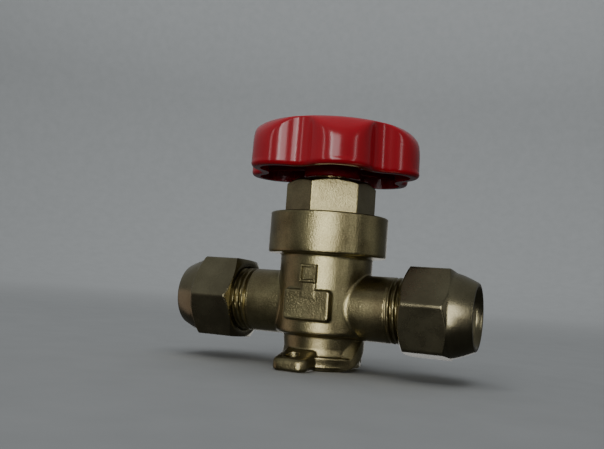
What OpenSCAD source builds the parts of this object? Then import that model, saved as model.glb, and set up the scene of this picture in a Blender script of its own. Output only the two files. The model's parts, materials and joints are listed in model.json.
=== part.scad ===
// Straight hand-operated diaphragm shut-off valve with two flare connections.
// Z = 0 is the underside of the foot, the stem axis is Z, the flow axis is X,
// and the side with the two raised pads faces -Y. Drawn with the valve shut.

/* [Flare connections] */
// Outside diameter of the flare thread on each arm
thread_d = 19.05; // [18.6:0.05:19.4]
// Length of the flare thread
thread_l = 13.8; // [13:0.1:14.4]
// Width of the relief groove behind the thread
relief_w = 1.7; // [1.2:0.1:2.2]
// Depth of the relief groove
relief_depth = 0.75; // [0.4:0.05:1]
// Diameter of the 45 degree flare cone where it leaves the thread
flare_root_d = 16.4; // [15.6:0.1:17]
// Diameter of the flare cone at its tip
flare_tip_d = 11.6; // [11:0.1:12.4]
// Distance from the stem axis to the end face of each arm
arm_reach = 39.8; // [38.8:0.1:41]
// Diameter of the straight flow bore in each arm
flow_d = 9.5; // [8.6:0.1:10.4]
// Depth of that straight bore from the end face
flow_depth = 15; // [13:0.5:17]

/* [Flare nuts] */
// Width across the flats of a nut
nut_af = 24; // [23:0.1:26]
// Length of the hexagon
nut_hex_l = 13.3; // [12.6:0.1:14]
// Angle of the chamfers on the hexagon
nut_chamfer = 30; // [20:1:40]
// Radius by which the chamfer at the inner end cuts below the flats
nut_inner_drop = 0.3; // [0.1:0.05:0.6]
// Radius that the chamfer at the nose end leaves above the flats
nut_outer_rise = 0.1; // [0:0.05:1]
// Length of the turned nose
nose_l = 6.5; // [6:0.1:7.2]
// Diameter of the nose where it leaves the hexagon
nose_root_d = 23.8; // [22.5:0.1:24]
// Diameter of the nose at its end
nose_end_d = 18.85; // [18:0.05:20]
// Outside diameter of the tube that a nut takes
tube_d = 12.7; // [12.2:0.1:13.2]
// Diametral clearance between the tube and its hole
tube_play = 0.3; // [0.1:0.05:0.5]
// Length of the straight part of the tube hole
tube_land = 2.3; // [1.8:0.1:3]
// Diameter of the wide mouth of the tube hole
mouth_d = 16.2; // [15:0.1:16.8]
// Length over which the mouth narrows to the tube hole
mouth_l = 2.5; // [2:0.1:3]
// Room along X between the body's cone and the nut's cone for the tube's flare
flare_room = 1.7; // [1.3:0.1:2]
// Turn of the left nut about the flow axis
left_nut_turn = 2.8; // [0:0.1:59]
// Turn of the right nut about the flow axis
right_nut_turn = 10.2; // [0:0.1:59]

/* [Foot] */
// Thickness of the foot
foot_t = 3.2; // [2.8:0.1:4]
// Width of the middle of the foot
foot_w = 18; // [17:0.1:19]
// Length of the middle of the foot
foot_l = 25; // [24:0.1:26]
// Corner radius of the middle of the foot
foot_corner_r = 7; // [5:0.1:8]
// Width of each fixing lug
lug_w = 10.3; // [9:0.1:11]
// Sideways offset of a lug's centre line from the stem axis
lug_offset = 2.15; // [1:0.05:3]
// Distance from the stem axis to a lug's end
lug_reach = 19.5; // [18.5:0.1:21]
// Corner radius of a lug
lug_corner_r = 2.4; // [1.5:0.1:3]
// Diameter of a fixing screw hole
screw_hole_d = 4.5; // [3.5:0.1:4.8]
// Distance of the screw holes from the flow axis
screw_hole_y = 15.6; // [15.2:0.1:16]
// Height to which the foot's top slopes up round the hub
apron_z = 5.8; // [5:0.1:6.2]
// Chamfer round the underside of the foot
foot_chamfer = 0.8; // [0.4:0.1:1.2]

/* [Forged body] */
// Height of the flow axis above the foot's underside
arm_z = 18.5; // [18:0.1:19.2]
// Diameter of the hub just above the foot
hub_low_d = 21.4; // [20.6:0.1:22]
// Diameter of the hub where it meets the neck
hub_top_d = 23; // [22.2:0.1:24]
// Height at which the hub steps out to the neck
neck_z = 9.8; // [9:0.1:10.6]
// Diameter of the neck
neck_d = 27.6; // [27:0.1:28.6]
// Height of the bowl's underside
bowl_z = 33.1; // [32.8:0.1:33.8]
// Outside diameter of the bowl
bowl_d = 35.4; // [34.6:0.1:37]
// Height of the bowl
bowl_h = 12.1; // [11.6:0.1:12.8]
// Chamfer on the bowl's top edge
bowl_chamfer = 0.8; // [0.4:0.1:1.2]
// Radius of the fillet between the neck and the bowl
forge_r = 0.8; // [0.5:0.1:0.9]
// Height to which the buttress behind the hub rises, under the inlet arm
buttress_z = 9; // [8.4:0.1:9.2]
// Diameter of the buttress at the foot
buttress_d = 12.4; // [11.6:0.1:13]
// Diameter of the buttress at its top
buttress_top_d = 11.4; // [10.4:0.1:11.6]
// Distance of the buttress from the stem axis along the flow axis
buttress_x = 5.4; // [5:0.1:5.8]
// Distance of the buttress behind the flow axis
buttress_y = 4.2; // [3.8:0.1:4.8]

/* [Raised pads] */
// Distance of the pads' faces from the stem axis
pad_reach = 14.4; // [14:0.05:14.8]
// Width of the long pad
pad_w = 14; // [12:0.1:16]
// Height of the long pad
pad_h = 8.6; // [7.5:0.1:9.5]
// Corner radius of the long pad
pad_r = 1.1; // [0.6:0.1:1.6]
// Width and height of the small square pad
badge_w = 5.8; // [5:0.1:6.4]
// Height of the square pad's centre above the flow axis
badge_rise = 9.1; // [8.8:0.1:10]
// Width of the raised edge round the square pad
badge_edge = 0.6; // [0.4:0.05:0.9]
// Width of the tab that joins the long pad to the square one
tab_w = 3.4; // [2.5:0.1:4.5]

/* [Seat and passages] */
// Height of the seat's sealing edge
seat_z = 19.5; // [19.2:0.1:20]
// Diameter of the hole through the seat
seat_d = 9; // [8.4:0.1:9.4]
// Width of the seat's raised edge
seat_edge = 1.1; // [0.8:0.1:1.4]
// Height of the raised edge above the chamber floor
seat_rise = 0.8; // [0.6:0.1:1]
// Diameter of the chamber round the plunger
chamber_d = 18; // [17.6:0.1:18.4]
// Depth of the inlet pocket below the seat
pocket_depth = 12.5; // [11.5:0.1:13]
// Diameter of the two slanted passages
passage_d = 7; // [6.4:0.1:7.2]
// How far the outlet's passage runs into the chamber
outlet_entry = 2.5; // [1.8:0.1:2.7]

/* [Valve travel] */
// Rise of the stem from shut to fully open
lift = 2.5; // [2:0.1:2.6]

/* [Plunger and spring] */
// Diameter of the disc holder at the foot of the plunger
holder_d = 14.8; // [14.2:0.1:15.2]
// Height of the disc holder
holder_h = 3.6; // [3.3:0.1:3.8]
// Diameter of the plunger's stem
plunger_d = 6; // [5.6:0.1:6.4]
// Diameter of the soft seat disc
disc_d = 12.6; // [12:0.1:13]
// Thickness of the soft seat disc
disc_t = 2.2; // [2:0.1:2.4]
// How far the seat disc stands out of its holder
disc_proud = 0.6; // [0.4:0.1:0.8]
// Diameter of the washer that holds the seat disc
disc_washer_d = 7.6; // [7:0.1:8]
// Thickness of that washer
disc_washer_t = 0.8; // [0.6:0.1:1]
// Thread diameter of the screw in the plunger
disc_screw_d = 3; // [2.6:0.1:3.2]
// Length of that screw in the plunger
disc_screw_grip = 4.5; // [3.5:0.1:6]
// Height of that screw's head
disc_screw_head_h = 1.5; // [1.2:0.1:1.8]
// Thickness of the plunger guide
guide_t = 1.8; // [1.6:0.1:2]
// Width of the ledge that carries the guide
guide_ledge = 0.6; // [0.5:0.05:0.7]
// Wire diameter of the return spring
spring_wire_d = 1; // [0.8:0.05:1.05]
// Mean diameter of the return spring
spring_d = 12; // [11:0.1:12.6]
// Number of turns in the return spring
spring_turns = 4; // [3:0.5:4.5]
// Diameter of the button on top of the plunger
button_d = 15; // [14.4:0.1:15.6]
// Thickness of the button's flange
button_t = 1.35; // [1.2:0.05:1.6]

/* [Diaphragms] */
// Outside diameter of the diaphragms, the gasket and the clamp ring
diaphragm_d = 30.4; // [29.8:0.1:30.5]
// Width of the rim on which the diaphragms are clamped
clamp_w = 2.3; // [2:0.1:2.6]
// Thickness of one diaphragm
diaphragm_t = 0.2; // [0.15:0.01:0.25]
// Height above the bowl's underside of the ledge that the diaphragms are clamped on
ledge_rise = 2.9; // [2.7:0.1:3.2]
// Thickness of the gasket under the diaphragms
gasket_t = 0.5; // [0.4:0.05:0.7]
// Thickness of the loose clamp ring over the diaphragms
clamp_ring_t = 1; // [0.8:0.1:1.2]

/* [Bonnet] */
// Outside diameter of the bonnet's thread
bonnet_thread_d = 30.5; // [30.2:0.1:31]
// Width across the flats of the bonnet's hexagon
bonnet_af = 23.6; // [23:0.1:25]
// Height of the hexagon above the bowl
bonnet_hex_h = 10.2; // [9.8:0.1:11]
// Turn of the bonnet's hexagon about the stem axis
bonnet_turn = 25.7; // [0:0.1:59]
// Depth of the bonnet's top thread face below the bowl's rim
bonnet_sink = 0.6; // [0.4:0.1:1]
// Depth of the stop face inside the bonnet below the bowl's rim
stop_drop = 1.6; // [1.4:0.1:2]

/* [Stem] */
// Thread diameter of the stem
stem_thread_d = 11.9; // [11.4:0.1:12.4]
// Diameter of the stem's plain neck
stem_neck_d = 9.9; // [9.6:0.1:10.1]
// Diameter of the stem's stop collar
stem_collar_d = 17.2; // [16.4:0.1:18]
// Thickness of the stop collar
stem_collar_t = 2.4; // [2.2:0.1:2.45]
// Width of the square end that drives the handwheel
stem_square = 8; // [7.6:0.1:8.3]
// Diameter of the thrust pad under the stem
thrust_pad_d = 16.6; // [15.6:0.1:17]
// Wire diameter of the O-ring round the stem
seal_wire_d = 1.6; // [1.5:0.05:1.7]
// Thread diameter of the screw that holds the handwheel
wheel_screw_d = 4; // [3.5:0.1:4.5]
// Length of that screw below its washer
wheel_screw_l = 8; // [7:0.1:9]
// Height of that screw's head
wheel_screw_head_h = 2.4; // [2:0.1:2.8]

/* [Handwheel] */
// Diameter over the lobes
wheel_d = 53.9; // [51:0.1:56]
// Number of lobes
lobes = 6; // [5:1:8]
// Depth of the hollows between the lobes
hollow_depth = 5; // [3.5:0.1:5.4]
// Radius of each lobe
lobe_r = 9.7; // [9:0.1:11]
// Turn of the wheel about the stem axis
wheel_turn = -3.9; // [-30:0.1:30]
// Height of the rim
wheel_h = 14.2; // [13:0.1:16]
// Gap between the bonnet and the wheel's hub when the valve is shut
wheel_gap = 1; // [0.6:0.1:1.6]
// Drop of the wheel's hub below its rim
hub_drop = 0.6; // [0.4:0.1:1]
// Thickness of the rim
rim_t = 2.6; // [2:0.1:3.2]
// Thickness of the wheel's top
web_t = 3.4; // [2.8:0.1:3.8]
// Height of the domed top above the rim's edge
dome_h = 1; // [0.6:0.1:1.6]
// Width of the elliptical rounding of the rim's top edge
rim_edge_w = 6.6; // [5.8:0.1:7]
// Height of that rounding
rim_edge_h = 8.8; // [7.6:0.1:9]
// Diameter of the wheel's hub
wheel_hub_d = 17; // [16:0.1:19]
// Thickness of the ribs under the wheel
rib_t = 1.8; // [1.4:0.1:2.2]
// Diameter of the recess round the screw
recess_d = 15; // [14.4:0.1:17]
// Depth of the recess below the top of the dome
recess_depth = 5; // [4.6:0.1:5.2]
// Diameter of the washer under the screw
wheel_washer_d = 12; // [11.4:0.1:13]
// Thickness of the washer under the screw
wheel_washer_t = 0.8; // [0.6:0.1:1]

/* [Hidden] */
$fn = 96;

eps = 0.01;             // overlap that joins two solids of one piece
running_gap = 0.05;     // radial clearance between a turning or sliding piece and its bore
fit_gap = 0.05;         // radial clearance between two fixed pieces
stop_gap = 0.1;         // what is left of the travel at a stop
tap_room = 1.5;         // how far a tapped hole runs past its screw
cut = 1;                // how far a cutter runs past the face that it opens

forging = "goldenrod";
turned = "darkkhaki";
steel = "silver";
red_plastic = "firebrick";

// Flare connection
flare_l = (flare_root_d - flare_tip_d) / 2;
thread_end_x = arm_reach - flare_l;
thread_start_x = thread_end_x - thread_l;
flow_r = flow_d / 2;

// Flare nut, measured along X from the stem axis
tube_hole_r = (tube_d + tube_play) / 2;
nut_cone_sum = flare_tip_d / 2 + arm_reach + flare_room;
nut_cone_root_r = thread_d / 2 - 0.6;
nut_cone_x = nut_cone_sum - nut_cone_root_r;
nut_land_x = nut_cone_sum - tube_hole_r;
nut_mouth_x = nut_land_x + tube_land;
nut_end_x = nut_mouth_x + mouth_l;
nut_shoulder_x = nut_end_x - nose_l;
nut_inner_x = nut_shoulder_x - nut_hex_l;
nut_lead_l = 1.2;

// Heights of the fixed stack
bowl_top_z = bowl_z + bowl_h;
ledge_z = bowl_z + ledge_rise;
stop_z = bowl_top_z - stop_drop;
diaphragm_z = ledge_z + gasket_t;
diaphragm_stack_t = 3 * diaphragm_t;
clamp_ring_z = diaphragm_z + diaphragm_stack_t;
bonnet_z = clamp_ring_z + clamp_ring_t;
bonnet_shoulder_z = bowl_top_z - bonnet_sink;
bonnet_top_z = bowl_top_z + bonnet_hex_h;
bonnet_hex_chamfer = 30;

// Heights of the moving stack, with the valve shut
dish = lift / 2;
button_top_z = diaphragm_z - dish;
pad_z = button_top_z + diaphragm_stack_t;
collar_top_z = stop_z - lift - stop_gap;
collar_z = collar_top_z - stem_collar_t;
seal_lip = 0.6;
seal_groove_h = 1.8;
thread_cap = 0.8;
seal_z = bonnet_top_z - seal_lip - seal_groove_h;
stem_thread_top_z = seal_z - thread_cap;
neck_start_z = stem_thread_top_z - lift - stop_gap;
hub_z = bonnet_top_z + wheel_gap;
rim_z = hub_z + hub_drop;
rim_top_z = rim_z + wheel_h;
// The rounding runs smoothly into a spherical dome
wheel_r = wheel_d / 2;
edge_centre = [wheel_r - rim_edge_w, rim_top_z - rim_edge_h];
dome_tilt = 2 * atan(dome_h / edge_centre[0]);
edge_end = atan2(rim_edge_h * cos(dome_tilt), rim_edge_w * sin(dome_tilt));
dome_start = edge_centre + [rim_edge_w * cos(edge_end), rim_edge_h * sin(edge_end)];
dome_r = dome_start[0] / sin(dome_tilt);
wheel_top_z = dome_start[1] + dome_r * (1 - cos(dome_tilt));
recess_z = wheel_top_z - recess_depth;
web_z = rim_top_z - web_t;
stem_top_z = recess_z - 0.5;

// Chamber and plunger
chamber_z = seat_z - seat_rise;
chamber_r = chamber_d / 2;
bore_r = chamber_r + guide_ledge;
holder_z = seat_z + disc_proud;
holder_top_z = holder_z + holder_h;
guide_z = holder_top_z + lift + 0.3;
guide_top_z = guide_z + guide_t;
button_z = button_top_z - button_t;
disc_z = seat_z;
disc_top_z = disc_z + disc_t;
press_r = diaphragm_d / 2;
free_r = press_r - clamp_w;
flat_r = button_d / 2 + 0.6;

// Handwheel outline: lobes of one radius joined by hollows that are tangent to them
half_pitch = 180 / lobes;
lobe_overlap = 0.03;

function hollow_r(tip_r, valley_r, r) =
    let (c = tip_r - r)
    (c * c + valley_r * valley_r - 2 * c * valley_r * cos(half_pitch) - r * r)
        / (2 * r - 2 * valley_r + 2 * c * cos(half_pitch));

module ring(outer_r, inner_r, h) {
    difference() {
        cylinder(r = outer_r, h = h);
        translate([0, 0, -cut]) cylinder(r = inner_r, h = h + 2 * cut);
    }
}

// A cylinder or cone along +X from x0 to x1
module along_x(x0, x1, r0, r1) {
    translate([x0, 0, 0]) rotate([0, 90, 0]) cylinder(r1 = r0, r2 = r1, h = x1 - x0);
}

module rounded_rectangle(w, h, r) {
    square([w - 2 * r, h], center = true);
    square([w, h - 2 * r], center = true);
    for (x = [-1, 1], y = [-1, 1])
        translate([x * (w / 2 - r), y * (h / 2 - r)]) circle(r = r);
}

// Forged body
module lug(grow = 0) {
    length = lug_reach + lug_corner_r;
    translate([-lug_offset, lug_corner_r - length / 2])
        rounded_rectangle(lug_w + 2 * grow, length + 2 * grow, lug_corner_r);
}

module foot_outline(grow = 0) {
    rounded_rectangle(foot_w + 2 * grow, foot_l + 2 * grow, foot_corner_r);
    for (turn = [0, 180]) rotate(turn) lug(grow);
    translate([buttress_x, buttress_y]) circle(d = buttress_d + 2 * grow);
}

module foot() {
    translate([0, 0, foot_chamfer]) linear_extrude(foot_t - foot_chamfer) foot_outline();
    steps = 2;
    for (i = [0 : steps - 1])
        translate([0, 0, i * foot_chamfer / steps])
            linear_extrude(foot_chamfer / steps + eps)
                foot_outline(grow = (i + 0.5 - steps) * foot_chamfer / steps);
}

// Hub on the foot: undercut where it overhangs the foot's sides, and an apron where it stands on it
module hub() {
    low_r = hub_low_d / 2;
    undercut = low_r - foot_w / 2 + 0.4;
    translate([0, 0, foot_t - eps]) cylinder(r1 = low_r - undercut, r2 = low_r, h = undercut);
    translate([0, 0, foot_t + undercut - 2 * eps])
        cylinder(d1 = hub_low_d, d2 = hub_top_d, h = neck_z - foot_t - undercut + 3 * eps);
    intersection() {
        translate([0, 0, foot_t - eps]) cylinder(r1 = lug_reach + cut, r2 = low_r, h = apron_z - foot_t);
        linear_extrude(apron_z) foot_outline();
    }
    buttress();
}

// Tapered buttress behind the hub, under the inlet arm
module buttress() {
    translate([buttress_x, buttress_y, foot_t - eps])
        cylinder(d1 = buttress_d, d2 = buttress_top_d, h = buttress_z - foot_t + eps);
}

module pads() {
    rotate([90, 0, 0]) {
        translate([0, arm_z, neck_d / 4]) linear_extrude(pad_reach - neck_d / 4)
            rounded_rectangle(pad_w, pad_h, pad_r);
        translate([0, arm_z + badge_rise, neck_d / 4])
            linear_extrude(pad_reach - neck_d / 4) square(badge_w, center = true);
        translate([-tab_w / 2, arm_z, neck_d / 4])
            linear_extrude(pad_reach - 0.2 - neck_d / 4) square([tab_w, badge_rise - badge_w / 2]);
    }
}

module badge_recess() {
    recess = badge_w - 2 * badge_edge;
    translate([0, -pad_reach - cut, arm_z + badge_rise])
        translate([-recess / 2, 0, -recess / 2]) cube([recess, cut + 0.3, recess]);
}

module arm() {
    translate([0, 0, arm_z]) difference() {
        union() {
            along_x(0, thread_end_x, thread_d / 2, thread_d / 2);
            along_x(thread_end_x - eps, arm_reach, flare_root_d / 2, flare_tip_d / 2);
        }
        translate([thread_start_x - relief_w, 0, 0]) rotate([0, 90, 0])
            ring(thread_d, thread_d / 2 - relief_depth, relief_w);
    }
}

module body_outside() {
    foot();
    hub();
    neck_profile();
    for (side = [0, 1]) mirror([side, 0, 0]) arm();
    pads();
}

// Neck and bowl in one turn: rounded underside, fillet into the bowl, chamfered rim
module neck_profile() {
    neck_r = neck_d / 2;
    bowl_r = bowl_d / 2;
    round_r = 0.7;
    rotate_extrude() {
        difference() {
            translate([0, neck_z]) square([neck_r, bowl_z - neck_z + eps]);
            translate([neck_r - round_r, neck_z]) difference() {
                translate([0, -eps]) square([round_r + eps, round_r + eps]);
                translate([0, round_r]) circle(r = round_r);
            }
        }
        difference() {
            translate([neck_r - eps, bowl_z - forge_r]) square([forge_r + eps, forge_r + eps]);
            translate([neck_r + forge_r, bowl_z - forge_r]) circle(r = forge_r);
        }
        polygon([[0, bowl_z], [bowl_r - 0.3, bowl_z], [bowl_r, bowl_z + 0.3],
                 [bowl_r, bowl_top_z - bowl_chamfer], [bowl_r - bowl_chamfer, bowl_top_z],
                 [0, bowl_top_z]]);
    }
}

// A slanted drilling between two points of the X-Z plane
module drilling(from, to, d) {
    run = to - from;
    translate([from[0], 0, from[1]]) rotate([0, atan2(run[0], run[1]), 0])
        cylinder(d = d, h = norm(run));
}

module body_inside() {
    // Bore for the bonnet, the dish under the diaphragms and the bore for the spring
    translate([0, 0, ledge_z])
        cylinder(d = bonnet_thread_d + 2 * fit_gap, h = bowl_top_z - ledge_z + cut);
    dish_depth = dish + 0.55;
    translate([0, 0, ledge_z - dish_depth])
        cylinder(r1 = bore_r, r2 = free_r + eps, h = dish_depth + eps);
    translate([0, 0, guide_z]) cylinder(r = bore_r, h = ledge_z - guide_z - dish_depth + eps);
    // Chamber with the raised seat edge standing in it
    difference() {
        translate([0, 0, chamber_z]) cylinder(r = chamber_r, h = guide_z - chamber_z + eps);
        cylinder(r = seat_d / 2 + seat_edge, h = seat_z);
    }
    // Pocket below the seat, with a drill point
    pocket_z = seat_z - pocket_depth;
    translate([0, 0, pocket_z]) cylinder(d = seat_d, h = pocket_depth + cut);
    translate([0, 0, pocket_z - seat_d / 4]) cylinder(r1 = 0, r2 = seat_d / 2, h = seat_d / 4 + eps);
    // Straight bores in the arms
    bore_x = arm_reach - flow_depth;
    translate([0, 0, arm_z]) for (side = [0, 1]) mirror([side, 0, 0])
        along_x(bore_x, arm_reach + cut, flow_r, flow_r);
    // The inlet dips under the seat and the outlet rises into the chamber
    drilling([bore_x + 1, arm_z], [1, pocket_z + passage_d / 2], passage_d);
    drilling([-bore_x - 1, arm_z - 0.4],
             [outlet_entry - chamber_r, chamber_z + passage_d / 2], passage_d);
}

module screw_holes() {
    for (turn = [0, 180]) rotate(turn)
        translate([-lug_offset, -screw_hole_y, -cut])
            cylinder(d = screw_hole_d, h = apron_z + 2 * cut);
}

module valve_body() {
    color(forging) difference() {
        body_outside();
        body_inside();
        screw_holes();
        badge_recess();
    }
}

// Flare nuts
module nut_outside() {
    inner_r = nut_af / 2 - nut_inner_drop;
    outer_r = nut_af / 2 + nut_outer_rise;
    intersection() {
        along_x(nut_inner_x, nut_shoulder_x, nut_af, nut_af);
        translate([nut_inner_x, 0, 0]) rotate([0, 90, 0]) rotate([0, 0, 30])
            cylinder(d = nut_af / cos(30), h = nut_hex_l, $fn = 6);
        // Chamfers that cut the corners, wide at the inner end and slight at the nose
        along_x(nut_inner_x, nut_shoulder_x, inner_r, inner_r + nut_hex_l / tan(nut_chamfer));
        along_x(nut_inner_x, nut_shoulder_x, outer_r + nut_hex_l / tan(nut_chamfer), outer_r);
    }
    along_x(nut_shoulder_x - eps, nut_end_x, nose_root_d / 2, nose_end_d / 2);
}

module nut_inside() {
    bore = thread_d / 2 + running_gap;
    along_x(nut_inner_x - cut, nut_cone_x + eps, bore, bore);
    along_x(nut_inner_x - eps, nut_inner_x + nut_lead_l, bore + nut_lead_l / 2, bore);
    along_x(nut_cone_x, nut_land_x, nut_cone_root_r, tube_hole_r);
    along_x(nut_land_x - eps, nut_end_x, tube_hole_r, tube_hole_r);
    along_x(nut_mouth_x, nut_end_x + eps, tube_hole_r, mouth_d / 2);
    along_x(nut_end_x, nut_end_x + cut, mouth_d / 2, mouth_d / 2);
}

module flare_nut(turn) {
    color(turned) translate([0, 0, arm_z]) rotate([-turn, 0, 0]) difference() {
        nut_outside();
        nut_inside();
    }
}

module flare_nut_left() {
    mirror([1, 0, 0]) flare_nut(left_nut_turn);
}

module flare_nut_right() {
    flare_nut(right_nut_turn);
}

// Bonnet
module bonnet() {
    skirt_r = bonnet_thread_d / 2;
    corner_r = bonnet_af / 2 / cos(30);
    seal_r = stem_neck_d / 2 + seal_wire_d;
    color(forging) difference() {
        union() {
            translate([0, 0, bonnet_z]) cylinder(r = skirt_r, h = bonnet_shoulder_z - bonnet_z);
            intersection() {
                translate([0, 0, bonnet_shoulder_z - eps]) rotate(bonnet_turn)
                    cylinder(r = corner_r, h = bonnet_top_z - bonnet_shoulder_z + eps, $fn = 6);
                // 30 degree chamfer round the top of the hexagon
                reach = bonnet_top_z - bonnet_shoulder_z + 1;
                translate([0, 0, bonnet_shoulder_z - 1])
                    cylinder(r1 = bonnet_af / 2 - 0.4 + reach / tan(bonnet_hex_chamfer),
                             r2 = bonnet_af / 2 - 0.4, h = reach);
            }
        }
        translate([0, 0, bonnet_z - cut]) cylinder(r = free_r, h = stop_z - bonnet_z + cut);
        translate([0, 0, stop_z - eps])
            cylinder(d = stem_thread_d + 2 * running_gap, h = stem_thread_top_z - stop_z + eps);
        translate([0, 0, stem_thread_top_z - cut])
            cylinder(d = stem_neck_d + 2 * running_gap, h = bonnet_top_z - stem_thread_top_z + 2 * cut);
        // Groove for the O-ring, under a lip
        translate([0, 0, seal_z]) cylinder(r = seal_r + running_gap + eps, h = seal_groove_h);
    }
}

module stem_seal() {
    wire_r = seal_wire_d / 2;
    color("black") translate([0, 0, seal_z + wire_r])
        rotate_extrude() translate([stem_neck_d / 2 + running_gap + wire_r, 0]) circle(r = wire_r);
}

// Stem, drawn with its collar resting on the thrust pad
module stem() {
    square_z = rim_z;
    color(turned) difference() {
        union() {
            translate([0, 0, collar_z]) cylinder(d = stem_collar_d, h = stem_collar_t);
            translate([0, 0, collar_top_z - eps])
                cylinder(d = stem_thread_d, h = neck_start_z - collar_top_z + eps);
            translate([0, 0, neck_start_z - eps])
                cylinder(d = stem_neck_d, h = square_z - neck_start_z + eps);
            translate([0, 0, square_z - eps]) intersection() {
                cylinder(d = stem_neck_d, h = stem_top_z - square_z + eps);
                rotate(wheel_turn) translate([-stem_square / 2, -stem_square / 2, 0])
                    cube([stem_square, stem_square, stem_top_z - square_z + eps]);
            }
        }
        tapped_l = wheel_screw_l + tap_room;
        translate([0, 0, stem_top_z - tapped_l])
            cylinder(d = wheel_screw_d + 2 * fit_gap, h = tapped_l + cut);
    }
}

// The pad pushes on the diaphragms: flat foot, shallow bevel to the rim
module thrust_pad() {
    r = thrust_pad_d / 2;
    bevel = 0.8;
    color(turned) rotate_extrude()
        polygon([[0, pad_z], [button_d / 2, pad_z], [r, pad_z + bevel],
                 [r, collar_z], [0, collar_z]]);
}

// Diaphragms: flat clamped rim, sloping band and flat middle, pressed down with the valve shut
module diaphragm(level) {
    z = diaphragm_z + level * diaphragm_t;
    color(steel) rotate_extrude()
        polygon([[0, z - dish], [flat_r, z - dish], [free_r, z], [press_r, z],
                 [press_r, z + diaphragm_t], [free_r, z + diaphragm_t],
                 [flat_r, z + diaphragm_t - dish], [0, z + diaphragm_t - dish]]);
}

module diaphragm_bottom() {
    diaphragm(0);
}

module diaphragm_middle() {
    diaphragm(1);
}

module diaphragm_top() {
    diaphragm(2);
}

module diaphragm_gasket() {
    color("dimgray") translate([0, 0, ledge_z]) ring(press_r, free_r, gasket_t);
}

module clamp_ring() {
    color(turned) translate([0, 0, clamp_ring_z]) ring(press_r, free_r, clamp_ring_t);
}

// Plunger with its soft disc, button, guide and spring
module plunger() {
    recess_r = disc_d / 2 + fit_gap;
    color(turned) difference() {
        union() {
            translate([0, 0, holder_z]) cylinder(d = holder_d, h = holder_h);
            translate([0, 0, holder_top_z - eps])
                cylinder(d = plunger_d, h = button_z + 0.5 - holder_top_z + eps);
        }
        translate([0, 0, holder_z - cut]) cylinder(r = recess_r, h = disc_top_z - holder_z + cut);
        translate([0, 0, disc_top_z - eps])
            cylinder(d = disc_screw_d + 2 * fit_gap, h = disc_screw_grip + tap_room);
    }
}

module seat_disc() {
    color("ivory") translate([0, 0, disc_z]) difference() {
        cylinder(d = disc_d, h = disc_t);
        translate([0, 0, -cut]) cylinder(d = disc_screw_d + 2 * fit_gap, h = disc_t + 2 * cut);
    }
}

module seat_disc_washer() {
    color(steel) translate([0, 0, disc_z - disc_washer_t])
        ring(disc_washer_d / 2, disc_screw_d / 2 + fit_gap, disc_washer_t);
}

// Screw with a domed head and a driving slot
module slotted_screw(d, length, head_d, head_h) {
    slot_w = head_d * 0.16;
    difference() {
        union() {
            cylinder(d = d, h = length + eps);
            translate([0, 0, length]) rotate_extrude() polygon([[0, 0], [head_d / 2, 0],
                [head_d / 2, head_h * 0.6], [head_d / 2 - head_h * 0.35, head_h], [0, head_h]]);
        }
        translate([-head_d, -slot_w / 2, length + head_h * 0.45]) cube([2 * head_d, slot_w, head_h]);
    }
}

module seat_disc_screw() {
    length = disc_washer_t + disc_t + disc_screw_grip;
    color(steel) translate([0, 0, disc_z - disc_washer_t + length]) mirror([0, 0, 1])
        slotted_screw(disc_screw_d, length, disc_screw_d * 1.9, disc_screw_head_h);
}

// Guide with holes that even out the pressure on its two sides
module plunger_guide() {
    holes = 4;
    hole_d = 2;
    guide_hole_r = plunger_d / 2 + running_gap;
    color(turned) translate([0, 0, guide_z]) difference() {
        cylinder(r = bore_r - fit_gap, h = guide_t);
        translate([0, 0, -cut]) cylinder(r = guide_hole_r, h = guide_t + 2 * cut);
        for (i = [0 : holes - 1]) rotate(i * 360 / holes)
            translate([guide_hole_r + 1.6, 0, -cut]) cylinder(d = hole_d, h = guide_t + 2 * cut);
    }
}

// Compression spring: a helix swept by one polyhedron, standing between guide and button
module return_spring() {
    sides = 8;
    per_turn = 20;
    steps = ceil(spring_turns * per_turn);
    wire_r = spring_wire_d / 2;
    bottom = guide_top_z + wire_r + 0.02;
    rise = button_z - guide_top_z - spring_wire_d - 0.04;
    points = [for (i = [0 : steps], k = [0 : sides - 1])
        let (turn = 360 * spring_turns * i / steps,
             r = spring_d / 2 + wire_r * cos(360 * k / sides),
             z = bottom + rise * i / steps + wire_r * sin(360 * k / sides))
        [r * cos(turn), r * sin(turn), z]];
    walls = [for (i = [0 : steps - 1], k = [0 : sides - 1])
        let (next = (k + 1) % sides)
        [i * sides + k, (i + 1) * sides + k, (i + 1) * sides + next, i * sides + next]];
    first_cap = [[for (k = [0 : sides - 1]) k]];
    last_cap = [[for (k = [sides - 1 : -1 : 0]) steps * sides + k]];
    color(steel) polyhedron(points = points, faces = concat(walls, first_cap, last_cap));
}

// Button pressed on the plunger's stem, with a boss that centres the spring
module spring_button() {
    boss_d = spring_d - spring_wire_d - 1.2;
    boss_h = 1.8;
    color(turned) difference() {
        union() {
            translate([0, 0, button_z]) cylinder(d = button_d, h = button_t);
            translate([0, 0, button_z - boss_h]) cylinder(d = boss_d, h = boss_h + eps);
        }
        translate([0, 0, button_z - boss_h - cut])
            cylinder(d = plunger_d, h = boss_h + cut + 0.5);
    }
}

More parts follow.
